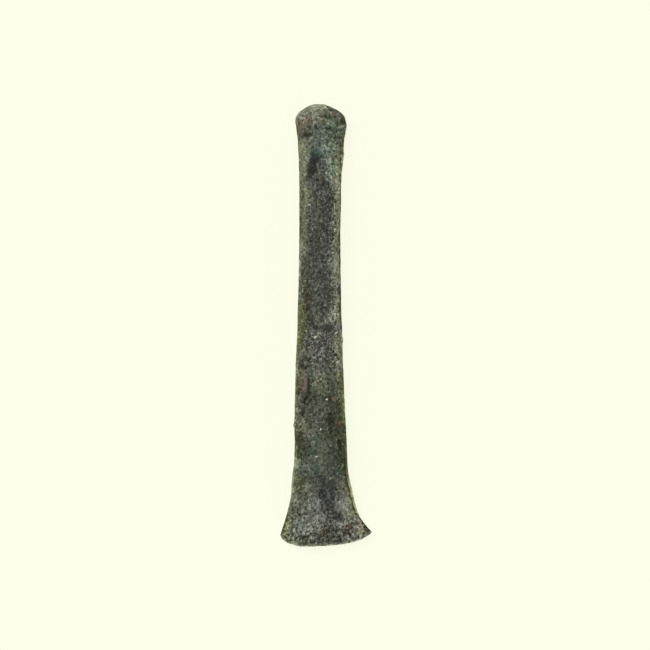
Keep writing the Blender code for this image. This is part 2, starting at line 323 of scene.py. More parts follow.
        leftSpeckle=(-9, 115.2, 1.6, 2, 0.03, 10), leftLow=(-5.6, 119.4, 1.8, 1.8, 0.07),
        rightLow=(4, 117, 2.6, 10, -0.08), leftLower=(-9.6, 119.6, 1.8, 4.2, -0.09),
        leftOfPatch=(-5, 107.6, 1.6, 2.8, -0.05), leftRim=(-9.6, 110.6, 1.6, 1.8, -0.05),
        rimByPatch=(-10.5, 97.2, 0.6, 2.8, 0.16), pinkSpot=(-3.8, 99.6, 0.65, 1.5, 0.1),
        redSpot=(3.1, 106.5, 1.2, 0.9, 0.04), rightLowPale=(3.4, 119.4, 1.5, 1.8, 0.07),
        rightLowDark=(7.2, 119.4, 1.2, 2, -0.06), aboveGreyGreen=(-5.4, 96.6, 3.6, 0.9, 0.13),
        belowPinkSpot=(-4.1, 101.8, 1.3, 1, 0.13), rightOfGreyGreen=(1.9, 101.3, 1.5, 1, -0.1),
        underLongPatch=(-8.2, 104, 2, 0.9, -0.08), rightOfHole=(4.2, 104.8, 0.9, 2.2, 0.13),
        leftUnderHole=(-8.3, 111.6, 1.2, 1.6, -0.19, 25), paleMiddleUnder=(-2.8, 112.2, 1.2, 0.9, -0.11),
        leftSpeckleUpper=(-7.8, 117.5, 1, 1.6, 0.24), middleUnder=(-2.4, 118, 1.2, 1.2, -0.15),
        rightUpper=(3.7, 118.6, 1.1, 1.3, -0.14), pinkSpotHalo=(-3.2, 99, 0.9, 0.7, -0.09),
        leftHole=(-8.4, 106.4, 1.1, 0.8, 0.13), middleLeft=(-5.8, 112.9, 0.8, 1.2, 0.13),
        rightOfMiddle=(1.7, 109.1, 0.8, 1.6, -0.1), middle=(0.3, 118.2, 0.9, 1.5, 0.08),
        holeRight=(1.3, 106, 0.9, 1.3, -0.15), middleGlint=(-0.6, 109.4, 0.8, 1.1, 0.09),
        leftSpeckleTop=(-8.2, 115.2, 0.9, 0.9, 0.15), middleLeftDark=(-5.9, 117.4, 0.9, 0.9, -0.07),
        middleDark=(-0.4, 116.6, 1.2, 0.8, -0.06),
    ),
    teal=dict(
        pale=(-2.4, 128.2, 1.8, 1.6, 0.06), foot=(-1, 132.4, 1.8, 2, 0.05),
        square=(-1.1, 123.2, 1.6, 1.7, 0.05), above=(-4.6, 123.4, 1, 2.5, 0.13),
        leftOf=(-8.4, 126.2, 2.6, 1.8, -0.1), under=(-2.3, 130.3, 1.2, 0.9, 0.09),
        rightOfFoot=(3.9, 133.3, 1.5, 1.1, -0.11), squareRight=(1.7, 123.2, 1, 0.9, -0.08),
        leftOfUpper=(-7.6, 123.8, 1, 0.9, -0.1), spot=(4.6, 125.5, 0.9, 0.9, -0.14),
        middle=(-1, 127.5, 1.8, 3.8, 0.05), aboveLeft=(-5.2, 120.6, 1.1, 0.8, 0.11),
    ),
    foot=dict(
        leftBand=(-9.8, 122.6, 1.2, 3.6, -0.05), leftEdge=(-10.6, 129.7, 1.2, 2.1, 0.2),
        rightLowest=(6, 128.5, 1.6, 6.5, -0.06), leftEdgeLow=(-10.6, 134, 1, 2.4, 0.06),
        right=(6.5, 131.6, 1, 2, 0.13), rightUpper=(6.4, 126.6, 0.8, 1.2, 0.1),
        leftRim=(-11.2, 131.4, 0.6, 1.3, 0.11), leftInner=(-6, 134, 1.4, 1, 0.1, 30),
        left=(-8.6, 134.9, 0.8, 0.8, -0.1), leftPale=(-6.5, 131.2, 3.6, 1.8, 0.05),
    ),
    flare=dict(
        left=(-9.2, 140.4, 1.6, 3.4, 0.05), leftRim=(-11.2, 139.4, 0.8, 4.2, 0.16),
        rightInner=(8.2, 141.4, 1.1, 1.6, 0.1), rightRim=(8.2, 134.6, 0.5, 2.4, -0.25, -12),
        rightLow=(11.2, 148.5, 0.9, 1, 0.13),
    ),
    blade=dict(
        streak=(-1.6, 139.4, 1.6, 4, -0.06), left=(-7, 148, 4.6, 6.5, 0.12, -6),
        right=(7.6, 141.4, 1.8, 2.8, 0.12, -10), rightLow=(7.8, 146.2, 3.2, 3.2, 0.17, -20),
        corner=(11.6, 150.8, 3.6, 2.6, 0.17, 38), rightInner=(3.2, 140.8, 1.6, 2.4, -0.1),
        whole=(0, 149, 17, 12, 0.018), topLeft=(-7, 138.3, 1.4, 1.6, 0.13),
        topMiddle=(-3.8, 140.5, 1, 1.1, -0.1), topRight=(5.7, 137.9, 1.5, 1.3, 0.1),
        rightMiddle=(6.4, 145.4, 1.5, 1.5, 0.09), leftMiddle=(-9.9, 147.8, 1.2, 2.4, -0.18, -33),
        leftLow=(-10.2, 151.8, 1.3, 1.2, -0.19), leftInner=(-6.6, 151.8, 0.8, 1.1, -0.2),
        inner=(-4.8, 145, 2, 1, 0.1, -25), topInner=(-4.5, 136, 0.8, 1.1, -0.09),
        streakTop=(-1.8, 138, 0.8, 1.2, 0.18), leftUpper=(-9.1, 140.8, 0.9, 0.9, -0.11),
        leftNext=(-8.4, 144.8, 1, 1.4, -0.08), edgeUpper=(-0.2, 148.3, 0.9, 1.2, 0.16),
        rightCentre=(3.9, 143.8, 1, 1.2, 0.07), rightBelow=(4.4, 147.8, 1.5, 0.9, -0.09),
        streakSide=(1.6, 147.4, 0.9, 1, -0.09), rightPale=(7.4, 147, 0.9, 0.9, 0.1),
        topLeftLow=(-6.5, 140.4, 0.9, 1.1, 0.12), innerUpper=(-3.2, 143, 1, 1, 0.11),
        innerDark=(-6.2, 143, 0.9, 0.9, -0.1),
    ),
    corners=dict(
        leftFacet=(-14.8, 151.5, 1.6, 5, 0.08, 10), right=(12.6, 151.2, 1.3, 2.6, 0.08, -38),
        rightDark=(14.8, 153.5, 1.3, 1.3, -0.3), leftRim=(-13.3, 146.8, 0.8, 2, 0.12, 15),
        rightInner=(9.6, 147.4, 1.1, 2, -0.08, -20), leftInner=(-10.8, 149, 0.8, 0.9, 0.16),
        inner=(9.2, 149.7, 0.8, 0.8, -0.11), rightPale=(11.3, 154.6, 2.4, 1.6, 0.05),
        left=(-13.2, 154.6, 0.9, 1.8, 0.12),
    ),
    edge=dict(
        above=(3.2, 149.2, 3, 1.6, -0.12), left=(-4.6, 154.6, 3.4, 2, -0.05),
        right=(6.8, 153, 3.6, 1.4, -0.05, -12), leftPale=(-10, 153.4, 5.2, 3, 0.16),
        middle=(-1.8, 149.8, 2.4, 1.4, 0.12), paleMiddle=(-3.7, 152.1, 1.3, 1.2, 0.19),
        darkMiddle=(1.7, 153.6, 1.2, 1.7, -0.21), paleRight=(4.7, 151.7, 2.9, 1.2, 0.11),
        farRight=(11.4, 156, 1.3, 1.7, 0.19), rightLow=(6.7, 158.2, 0.8, 1.3, 0.21),
        leftLow=(-11, 157.8, 1.5, 1.7, 0.2), middleLow=(-1.9, 154, 0.9, 3, 0.2),
        rightInner=(6.2, 152.6, 1.3, 1.4, 0.15), blot=(-6.6, 156.9, 0.9, 0.9, 0.09),
        darkLeft=(-8, 158.9, 1.6, 0.9, -0.11), lowest=(-2, 159.4, 2.2, 0.7, 0.11),
        lowRight=(2.6, 157.6, 1.1, 1.2, -0.08), narrow=(-2.7, 150.4, 0.8, 1, 0.1),
        centre=(-0.2, 155.6, 0.9, 0.9, -0.12), paleCentre=(1.2, 157.6, 0.8, 0.8, 0.11),
        leftNext=(-4.2, 158.6, 1, 0.9, 0.09), leftDark=(-9, 154.8, 1.6, 0.8, -0.08),
        upper=(0.2, 151.1, 0.8, 0.8, -0.11), inner=(2.8, 150.5, 0.9, 0.7, 0.11),
        blotch=(8, 151.2, 1.1, 1, 0.15), lowInner=(6.3, 153.7, 0.9, 0.7, 0.1),
        darkRightLow=(4.8, 157.1, 0.9, 0.9, -0.12), rightMiddle=(7, 156.2, 1, 0.8, 0.18),
    ),
)

marks = dict(  # the same, but crisp: bare dark spots and lines, and a few pale folds and flecks
    rightShoulder=(6.5, 5.4, 1.2, 1.9, -0.17, -25), underShoulder=(5.6, 7, 1.6, 0.7, -0.08, 10),
    crownSpot=(1.6, 2, 0.9, 0.8, -0.16, 20), underCrown=(0.6, 5, 1.3, 0.6, -0.14, 30),
    neckSpot=(0.8, 8.8, 1.3, 0.7, -0.2), neckLeft=(-3.4, 8.6, 0.8, 0.6, -0.14),
    neckMiddle=(-0.4, 7.2, 0.5, 0.9, -0.12, 20), underLip=(4.6, 9.4, 1.5, 0.5, -0.07, -8),
    foldedLip=(5.4, 8.2, 1.7, 0.35, 0.05, -22), foldedLipLow=(4.2, 10.2, 0.8, 0.3, 0.12, -35),
    leftNeck=(-6.8, 10.9, 1.7, 1, -0.14), leftNeckLow=(-5, 13.8, 0.9, 0.6, -0.05),
    rightNeck=(5, 12.2, 0.8, 0.9, -0.2, 30), streak=(-3.6, 19, 1.9, 2.5, -0.18, 16),
    streakCore=(-4.9, 23.2, 1.4, 3.6, -0.17, 10), flankSpot=(-9, 41.2, 0.5, 1, -0.16),
    flankSpots=(-8, 28.4, 0.9, 1.1, -0.1), flankLow=(-9, 60.4, 1.1, 1.5, -0.12),
    rightGap=(4.9, 49, 0.5, 2, -0.18), rightGapLow=(4.7, 67, 0.8, 1.8, -0.14),
    darkSpot=(1, 81, 1.9, 1.4, -0.11), darkSpotLeft=(-3.4, 80.7, 1.3, 0.75, -0.36, 10),
    besidePatch=(-6, 102.6, 0.8, 3, -0.17, 8), abovePatch=(-7.6, 95.6, 0.9, 0.5, -0.2),
    aboveLine=(-5.6, 96.8, 2.2, 0.3, -0.12, -10), underPatch=(-7.6, 106.4, 1.2, 0.6, -0.12, 10),
    holeMiddle=(1.2, 114.2, 0.9, 1.2, -0.14), holeRight=(4.6, 122.4, 0.7, 0.6, -0.2),
    holeRightLow=(5.2, 124.4, 0.7, 1.1, -0.16, 20), smoothDarkSpot=(2.3, 137.3, 1.4, 1.6, -0.08),
    palePimple=(-9.6, 117.8, 0.9, 0.5, 0.14), paleRightLoop=(7.3, 152, 1.7, 0.8, 0.14, -10),
    bladeStreakTop=(-1.2, 137.1, 0.9, 1.6, -0.1), bladeStreakMiddle=(-1.2, 140.8, 1.6, 1.8, -0.12, -10),
    bladeStreakLow=(1, 143.6, 1.5, 2.4, -0.12, -20), bladeStreakFoot=(0.2, 147, 1.5, 1.4, -0.09),
    edgeBlotLeft=(-9, 156.7, 1.2, 0.9, -0.16), edgeBlotNext=(-6.3, 156.2, 0.7, 0.8, -0.14),
    edgeBlotLow=(-4.6, 158.2, 0.9, 0.5, -0.12), edgeBlotMiddle=(-1.7, 156.2, 0.8, 0.9, -0.14),
    edgeBlotMiddleLow=(0.4, 158, 0.8, 0.6, -0.12), edgeBlotRight=(4.4, 158.1, 1.9, 0.7, -0.14),
    edgeBlotUpper=(3.3, 154.2, 1.6, 0.6, -0.14, -15), edgeBlotUpperRight=(6.8, 153.4, 1.4, 0.8, -0.14, -20),
    crownBand=(1.1, 3, 0.6, 1.9, -0.1), midLeftLine=(-6.7, 71.2, 0.7, 3.8, -0.12),
    rightNeckRim=(6.2, 13.8, 0.5, 2, -0.1), cornerLine=(-12, 152.4, 0.4, 4.2, -0.09),
    bladeFlecks=(-1.9, 143.6, 1, 1.8, 0.09), rightLineMiddle=(5.05, 55.6, 0.35, 3.2, -0.18),
    rightHairline=(4.95, 72.6, 0.42, 4.4, -0.22), midLeftLineEnd=(-6.8, 74.2, 0.7, 0.6, -0.24),
    aboveLeft=(-8.6, 94.4, 0.8, 0.5, -0.24), leftOfPatch=(-10.2, 100, 0.5, 1.8, -0.14),
    underPatchLeft=(-10, 104.2, 0.6, 0.9, -0.15), underPatchRight=(-6.4, 104.9, 0.9, 1.2, -0.16),
    leftStripEdge=(-7.9, 80, 0.5, 9, -0.06, 2), aboveEdgeLeft=(-0.5, 154.4, 1.3, 1.1, -0.1),
    crownNick=(0.8, 0.6, 0.4, 0.6, -0.15), crownStreakDark=(-5.7, 5.2, 0.7, 1.8, -0.1),
)

rimLightAndShade = dict(  # bands along the outline, painted light and shade: dark ones are painted shade where a wall or arris turns from the light, pale ones painted light where a wall catches it; side (1 is the right), start, end, inset, half width, strength
    rightHairline=(1, 24, 72, 0.1, 0.3, -0.24), rightMidHairlineShade=(1, 72, 104, 0.1, 0.3, -0.12),
    rightFlareWallLit=(1, 131, 150, 0.35, 0.48, 0.3), rightFlareArrisShadow=(1, 124, 151, 1.1, 0.3, -0.28),
    rightLowOutlineShade=(1, 148, 156, 0.2, 0.6, -0.4), leftLowOutlineShade=(-1, 143, 156.5, 0.2, 0.5, -0.3),
    leftHairline=(-1, 4, 60, 0.05, 0.22, -0.1), leftArris=(-1, 16, 74, 2.95, 0.35, -0.05),
    leftFlareRim=(-1, 96, 150, 0.3, 0.5, 0.08), rightRimPale=(1, 100, 131, 0.5, 0.45, 0.08),
    leftFlareRimLow=(-1, 133, 150, 0.1, 0.4, 0.12),
)

cuprite = dict(  # red-brown copper oxide showing through
    leftShoulder=(-9.6, 9, 1.1, 3.3, 0.85, 2), leftShoulderInner=(-6.9, 6.4, 1.4, 3, 0.4),
    rightCrown=(3.4, 3.4, 0.9, 1.4, 0.9, 10), rightNeck=(3.9, 18.8, 0.8, 0.9, 0.7),
    midLeftLine=(-6.7, 70.4, 0.8, 4.4, 0.75), rightHairline=(4.95, 72.6, 0.42, 4.6, 1),
    longPatch=(-8.1, 99.2, 1, 3.6, 0.8), pinkSpot=(-3.5, 100, 0.75, 1.1, 1.15),
    redSpot=(3.1, 106.4, 0.95, 0.8, 1.3), orangeStreak=(5.2, 115.4, 0.5, 3, 1.1, 8),
    aboveEdge=(-0.6, 154.4, 1.6, 1.3, 0.4), purpleRight=(8, 153, 1.6, 1.4, 0.35),
    rightMid=(4.3, 88.5, 0.6, 0.7, 0.5), darkEdge=(0, 155, 5, 1.6, 0.15),
    crownStreak=(-6, 5.4, 0.6, 1.5, 0.6), rightNeckTan=(6.2, 19.8, 0.6, 1.7, 0.4),
    byGlint=(-2.3, 83.6, 0.7, 0.8, 0.5), longPatchLow=(-7.9, 101.9, 1.4, 2.6, 0.5),
    rightRimDots=(6.4, 108, 0.4, 1.3, 1), tealFlush=(-0.8, 125.8, 0.9, 0.8, 0.6),
    leftShoulderTop=(-8.8, 4.6, 1.1, 1.5, 0.35, 20), bladeStreak=(0.6, 144.8, 2.6, 4, 0.32),
    rightCorner=(10.6, 152.8, 4.2, 3.8, 0.48), rightFlare=(7.6, 139.4, 1.6, 2.2, 0.4),
    streakTop=(-1.1, 137.8, 1.4, 1.6, 0.35), aboveNetBand=(0.8, 85, 4.6, 1.7, 0.16),
    faceMiddle=(-1.1, 74.4, 2.8, 2.8, 0.22), faceUpper=(2.8, 57, 2.4, 5.5, 0.14),
    rightRimLow=(5.2, 81, 0.8, 1.8, 0.3), rightFlareLow=(10.3, 147.2, 1, 2, 0.3, -20),
    crownLeftInner=(-5.2, 6.9, 1.2, 1.4, 0.15), rightOfGreyGreen=(4.8, 98, 1.2, 1.4, 0.2),
    rightNeckFlank=(4.6, 18.4, 1.3, 3.4, 0.2), streakTopRim=(-1, 20.4, 1.6, 1.8, 0.1),
    streakFoot=(-3.7, 27.6, 1.7, 1.5, 0.12), faceMiddleLeft=(-3.4, 74.8, 2, 2.4, 0.1),
)

malachite = dict(  # dull green to teal copper carbonate
    neck=(-0.6, 13.6, 4.8, 6.5, 0.7), neckRight=(3.4, 8.5, 2.4, 4, 0.45), rightShaft=(2.2, 22, 2, 6, 0.5),
    midLeft=(-8.2, 69.5, 1.2, 3.2, 0.4), glintRing=(-3.6, 84.4, 1, 1, 0.8),
    byPinkSpot=(-3, 101.4, 2.2, 3, 0.4), lowRight=(2.4, 100.4, 2.2, 3.8, 0.45),
    blade=(-1.6, 125.5, 6.6, 8, 0.75), belowBlade=(-4, 136, 6.5, 4, 0.28),
    rimByPatch=(-10.2, 98.4, 0.9, 3.6, 0.5), rightRing=(8.8, 150.6, 1.3, 1.1, 0.4),
    crownMiddle=(0.6, 5, 1.1, 1.8, 0.3, 25), leftNeck=(-6.8, 18, 1.4, 2.4, 0.25),
    underStreak=(-0.5, 25, 7, 3, 0.22), leftEdgePale=(-10.2, 130.4, 1.5, 1.6, 0.45),
    footRight=(4, 132.6, 2.4, 2.4, 0.42), bladeLeft=(-8.6, 153, 1.7, 2, 0.5),
    edgeLeft=(-11, 157, 3.5, 1.6, 0.25), leftFlankFoot=(-9, 24.2, 1, 1.6, 0.45),
    rightOfStreak=(0.7, 29.2, 2.2, 1.5, 0.3), aboveRedSpot=(3.5, 104.2, 1, 1.2, 0.3),
    hole=(-2.6, 106, 1.8, 1.4, 0.28), middle=(-4.5, 119.2, 1.4, 1.6, -0.3),
    leftFoot=(-9.2, 132.3, 1.6, 1.5, 0.35), rightRim=(6.2, 113.3, 1, 3, 0.3),
    besideStreak=(-4.6, 21.4, 1.3, 1.8, 0.25), neckLeft=(-3.4, 16, 1.3, 2, -0.2),
    leftArris=(-5.2, 68.4, 1.2, 2.6, 0.2), abovePinkSpot=(-5.2, 98.4, 1, 1.2, 0.3),
    aboveGreyGreen=(0.8, 96.2, 2.2, 1.1, 0.18), neckTop=(-1.4, 8.4, 1.5, 1.2, 0.3),
)

olive = dict(  # yellow-green, mostly on the flanks
    crown=(-2, 3, 9, 4, 0.3), leftStrip=(-8.2, 78.2, 1.1, 8, 0.95, 2),
    leftStripRim=(-10.2, 83, 0.8, 7.5, 0.7), rightStrip=(5.4, 104, 1.3, 7, 0.75),
    rightPatch=(4.9, 26, 1, 3, 0.4), lowBand=(-2, 110, 9, 12, 0.26), lowestBand=(-2, 127, 9, 8, 0.08),
    leftBand=(-10, 124, 1.8, 6, 0.6), leftFlare=(-9.6, 136.5, 1.4, 4, 0.6),
    leftCorner=(-14.3, 152.4, 2, 4.6, 0.75, 10), rightCorner=(11, 150.5, 5, 4, 0.35, 30),
    rightFlare=(7.6, 138, 1, 8, 0.5, -10), rightDark=(4.6, 116, 2.2, 10, 0.45),
    rightFlareRim=(8.9, 140.8, 1.3, 7, 0.6, -14), leftBlade=(-11, 146, 3, 9, 0.3, 12),
    rightLow=(5.9, 127.6, 1.8, 6, 0.8), edge=(0, 157.5, 14, 3, 0.25), head=(-1, 8, 9.5, 6.5, 0.2),
    rightShoulder=(6.7, 5.6, 1.6, 2.4, 1.1, -25), leftNeck=(-5.8, 11.6, 2, 2.4, 0.35),
    rightNeck=(5.6, 15.8, 1.5, 6, 0.35), upperFaceLeft=(-3.8, 38, 1.8, 12, 0.12),
    leftStripLow=(-9, 93, 1.6, 5, 0.3), rightNeckRim=(6.3, 14.5, 0.7, 5, 0.6),
    rightFlankStrip=(3.7, 59.3, 1, 5, 0.3), longPatch=(-7.9, 100.4, 1.4, 4, -0.5, 4),
    pinkSpot=(-3.8, 99.6, 0.8, 1.6, -0.5), redSpot=(3.2, 106.2, 1.2, 1, -0.5),
    darkMiddle=(1.4, 113.2, 1.6, 2.2, 0.35), rightRimGreen=(6.3, 101.6, 0.8, 2, 0.4),
    greyGreenBand=(-0.8, 101, 3, 4.6, 0.25), lowLeft=(-8.5, 110, 2.4, 9, 0.2),
    leftEdgePale=(-10.4, 129.8, 1.2, 2.2, -0.1), rightNeckFlank=(5.8, 19.5, 1.4, 7.5, 0.45),
    rightOfStreak=(2.6, 22.8, 1.5, 4.4, 0.3), leftFlankBend=(-7, 33.3, 1.5, 2.8, 0.45),
    neckAcross=(-2, 12, 3.2, 1.8, -0.18), rightGap=(4.2, 67.6, 1.1, 2.2, -0.55),
    rightRimLow=(5.3, 80.6, 0.9, 2.2, -0.6), rightFlankLow=(4, 89.5, 1.7, 4, 0.28),
    underNetBand=(-5.5, 95.5, 3.4, 3.4, 0.2), leftRimByPatch=(-10.7, 100, 0.8, 4.8, 0.6),
    rightRim=(6.9, 117, 0.9, 12, 0.5, -4), leftSpeckle=(-9, 119, 1.6, 2.4, 0.28),
    rightFoot=(6, 134.3, 1.1, 1.8, -0.5), rightCornerTip=(14.2, 154.8, 1.9, 1.5, 0.6, -20),
    edgeLeft=(-10.5, 157.4, 4, 1.8, 0.3), crownLeft=(-5.5, 4.7, 3, 1.4, -0.2),
    rightCrown=(4.4, 4.1, 1.1, 1.2, -0.6), bladeCentre=(-1, 142, 3.4, 6, -0.15),
    leftShoulderRim=(-10.2, 8.4, 0.8, 4.5, 0.35), streakTop=(-0.9, 20.6, 1.6, 1.6, -0.28),
    streakFoot=(-3.6, 27.8, 1.6, 1.3, -0.28), faceTop=(-0.7, 33, 1.8, 3.6, -0.2),
    rightFlankMiddle=(3.4, 43.8, 1.2, 2, -0.25), rightFlankNext=(4.2, 50, 1.2, 1.8, 0.35),
    leftFlankLow=(-7.8, 52.6, 1.3, 1.8, -0.22), leftFlankAbove=(-7.5, 65, 1.3, 3.8, 0.4),
    rightAboveRed=(2.6, 94.6, 1.6, 2, 0.35), leftFootRim=(-11.3, 132.8, 0.8, 3, 0.5),
    middle=(-3, 116, 3.4, 6, -0.15), leftNeckLow=(-7, 16, 1.4, 2.4, 0.3),
    rightNeckInner=(2.4, 15, 1.6, 2.2, 0.25), leftStripFoot=(-9.6, 86.5, 0.9, 2.4, 0.45),
    rightFootRim=(7.6, 132.5, 0.8, 3, 0.55, -8), leftLower=(-9.6, 102.5, 1.2, 3.5, 0.3),
)

slate = dict(  # thin blue-grey film, and the blue of the painted glint at the left of the crown
    streakTop=(-3.9, 18.4, 1.9, 2.4, 0.75, 14), streak=(-5, 22.6, 1.5, 4, 0.25, 12),
    neck=(-1.8, 16, 2.6, 4, 0.35), face=(-0.8, 62, 3.4, 20, 0.18), rightOfFace=(1.8, 50, 1.6, 7, 0.2),
    rightFaceLine=(2, 58, 0.8, 4, 0.5), faceLow=(0.4, 74, 3.4, 5, 0.3),
    bladeStreak=(0.4, 141, 2.6, 6, 0.45, -10), bladeMiddle=(1, 146.5, 5, 6, 0.25),
    cornerLine=(-12, 152.8, 0.8, 3.6, 0.85), rightRing=(9, 150.8, 1.4, 1.4, 0.4),
    # leftShoulder tints the painted highlight at the left of the crown blue-grey
    leftShoulder=(-9.2, 3.6, 1.3, 1.6, 0.7, 20), slatePatch=(-4.2, 132, 2.4, 2.4, 0.5),
    bladeUpper=(-1.5, 142, 3.4, 6, 0.2), purpleRight=(8.2, 152, 2.6, 2.3, 0.6),
    rightCrown=(3.6, 3.6, 1, 1.4, 0.35), rightCorner=(10.3, 153, 3, 3, 0.3),
    faceMiddle=(-1, 74.4, 3, 3, 0.14), faceUpper=(1.8, 57, 3, 5.5, 0.07),
    rightRimLow=(5, 80.8, 0.9, 2.4, 0.35), streakFoot=(-3.7, 27.6, 1.7, 1.5, 0.25),
    streakTopRim=(-1, 20.4, 1.6, 1.8, 0.25), faceMiddleLeft=(-3.4, 74.8, 2, 2.4, 0.3),
)

web = dict(  # pale crust drawn into a net round dark cells
    neck=(0.5, 14.5, 5, 7, 0.4), rightNeck=(3, 28, 2.4, 6, 0.6), rightPaleNet=(3.6, 75, 2.2, 4, 0.5),
    netBand=(-1, 88, 6, 5.6, 0.7), bladeRight=(6, 144, 4, 4.5, 0.15), blade=(-3, 142, 9, 8, 0.2),
)

gritAndGlints = dict(  # single pale grains that catch the eye; glint, glintBelow and leftShoulder are painted highlights, glints of light on the crust
    glint=(-3.8, 84.2, 0.29, 0.29, 1.4), glintBelow=(-2.9, 85.8, 0.22, 0.22, 0.4),
    first=(0.45, 106.7, 0.29, 0.27, 1.6), second=(-1.9, 117.5, 0.24, 0.26, 1),
    third=(-3.3, 127.4, 0.38, 0.26, 0.8), fourth=(1.7, 135.3, 0.26, 0.26, 0.45),
    leftShoulder=(-9.9, 3.9, 0.3, 0.7, 0.8, 20), rightLip=(6.9, 8.9, 0.3, 0.3, 0.4),
)

hollows = dict(  # dips and scars, in mm below the skin; raised where the strength is negative
    rightShoulderScar=(6.3, 6.2, 1.3, 1.3, 0.24, -25), foldedLip=(5.3, 8.2, 1.9, 0.45, -0.1, -22),
    underLip=(5.4, 9.6, 1.9, 0.5, 0.07, -22), leftNeckScar=(-6.3, 11.3, 1.6, 0.7, 0.16),
    crownNick=(0.8, 0.4, 0.45, 0.9, 0.55), streakDip=(-4.6, 20.6, 1.9, 6, 0.08, 12),
    rightNeckBump=(6.3, 20.6, 0.9, 3.4, -0.42), rightMidBump=(6.2, 85.3, 0.8, 1, -0.26),
    leftPimple=(-11.4, 116.1, 0.8, 0.7, -0.38), holeLeft=(-7, 107.5, 1.1, 1.5, 0.12, 15),
    holeRight=(5, 122.8, 0.8, 1.6, 0.22), longPatchEdge=(-6.2, 101.5, 0.6, 2.6, 0.12),
    cornerLine=(-12.1, 151, 0.5, 5.6, 0.04, 2), edgeNick=(-2.8, 159.9, 0.5, 0.5, 0.35),
    crownRightEase=(3.2, 1.3, 2.6, 1.6, 0.4, 20),
)

spreading = dict(  # where hammering and crust widen the outline, in mm
    rightFlare=(10.2, 142.5, 2.6, 5.5, 0.42, -18), rightCorner=(15, 153, 2.6, 5, 0.3, -40),
    edgeLeft=(-11.5, 157, 5.5, 3, 0.4, -25), edgeRight=(9, 157.6, 8, 3, 0.35, 14),
    edgeMiddle=(-2.5, 160, 7, 1.5, 0.1), leftShoulder=(-10.4, 3.9, 1.5, 3, 0.55, 20),
    rightMiddle=(5.3, 61, 2.5, 10, 0.18), rightLowMiddle=(5.8, 84, 2.5, 5.5, 0.15),
    leftLow=(-11, 101, 2.5, 14, 0.17), leftDip=(-11.8, 124.5, 2.5, 4.5, -0.28),
    leftFlare=(-12.4, 136, 2.5, 3.5, 0.3), rightHead=(7, 7.5, 2, 4.5, 0.22),
    rightNeck=(6.3, 16.5, 2, 3, 0.15), rightBend=(5.4, 36.5, 2, 4, 0.13), rightLow=(7.4, 122.5, 2, 6, 0.06),
)

calm = dict(  # smooth, even crust, with little mottling and no pits
    streak=(-3.6, 19, 1.8, 2.4, 0.45, 16), streakCore=(-4.9, 23.4, 1.2, 3.2, 0.5, 10),
    darkSpot=(1, 81, 1.8, 1.4, 0.5), teal=(-1, 131, 3.5, 4, 0.15), smoothDarkSpot=(2.3, 137.3, 1.4, 1.6, 0.9),
    edgeSpot=(4.4, 158.1, 1.9, 0.7, 0.6), tealUpper=(-1.5, 124.5, 4, 4.5, 0.1),
    longPatch=(-7.9, 100.8, 1.3, 3.4, 0.3), rightFlankStrip=(3.7, 59.3, 0.9, 4.6, 0.55),
    bladeSpot=(-5.9, 150.2, 1.1, 1.1, 0.7), tealSquare=(-1.1, 123.2, 1.7, 1.8, 0.6),
    slatePatch=(-3.9, 131.4, 1.6, 1.4, 0.6), tealRight=(1.9, 129.3, 1.3, 2.2, 0.5),
)


def spread(patches, edgeNoise=0.0, softness=0.35, side=seen):
    # adds the patches up over one side of the skin; noise makes their rims ragged, softness blurs them
    total = np.zeros(len(points))
    for middleAcross, middleDown, halfWidth, halfLength, strength, *turn in patches.values():
        angle = math.radians(sum(turn))  # none is 0
        sideways, along = across - middleAcross, down - middleDown
        u = (sideways * math.cos(angle) + along * math.sin(angle)) / halfWidth
        v = (along * math.cos(angle) - sideways * math.sin(angle)) / halfLength
        total += strength * fade(np.hypot(u, v) + edgeNoise, 1 + softness, 1 - softness)
    return total * side


def spreadRimLightAndShade(bands):
    # adds up the bands of painted shade and painted light that run along the outline
    run = 4.0  # mm over which their ends fade
    total = np.zeros(len(points))
    for side, start, end, inset, halfWidth, strength in bands.values():
        away = np.abs((fromRight if side > 0 else fromLeft) - inset)
        reach = fade(down, start, start + run) * fade(down, end, end - run)
        total += strength * reach * fade(away, halfWidth * 1.5, halfWidth * 0.5)
    return total * seen


def downTheTool(profile):
    # a value that changes down the tool, given as its value at so many mm
    return np.interp(down, list(profile), list(profile.values()))


def flank(inward, inset, *runs):
    # a band down one side, as wide as its inset, which comes and goes where its runs down the tool say
    band = fade(inward, *inset)
    for run in runs:
        band = band * fade(down, *run)
    return band


rimNoise = cloud(points, 1.3, 3, seed=1) * 0.35
broad = cloud(points, 14.0, 2, seed=2)
patchy = cloud(points, 5.0, 3, seed=3, stretch=1.6)
print("patches laid out")


# Relief, in mm along the normals

edgeBand = fade(down, *skin["edgeBandStart"])
pitted = skin["pitted"] + skin["pittedEdge"] * edgeBand + skin["pittedPatchy"] * patchy
pitted += skin["pittedNetBand"] * fade(np.abs(down - skin["netBandMiddle"]), *skin["netBandReach"])
lumps = cloud(points, skin["lumpSize"], 2, seed=4)
grain = cloud(points, skin["grainSize"], 2, seed=5, stretch=1.3)
uneven = 1 - np.clip(spread(calm, rimNoise), 0, 1)
pits = fade(cells(points, skin["pitSpacing"], seed=6), *skin["pitWall"]) * np.clip(pitted, 0, 1) * uneven
relief = skin["hammerDepth"] * cloud(points, skin["hammerSize"], 1, seed=7, stretch=1.5)
relief += (skin["lumpDepth"] * lumps + skin["grainDepth"] * grain) * uneven - skin["pitDepth"] * pits
relief -= spread(hollows, rimNoise * 0.5)
relief += skin["cupriteRise"] * spread(cuprite, rimNoise) + skin["gritAndGlintRise"] * spread(gritAndGlints)
relief += skin["crust"] * facing - skin["restingEase"] * (1 - facing)
sideways = steady(normals, edges, skin["levelling"]) * (1, 1, 0)
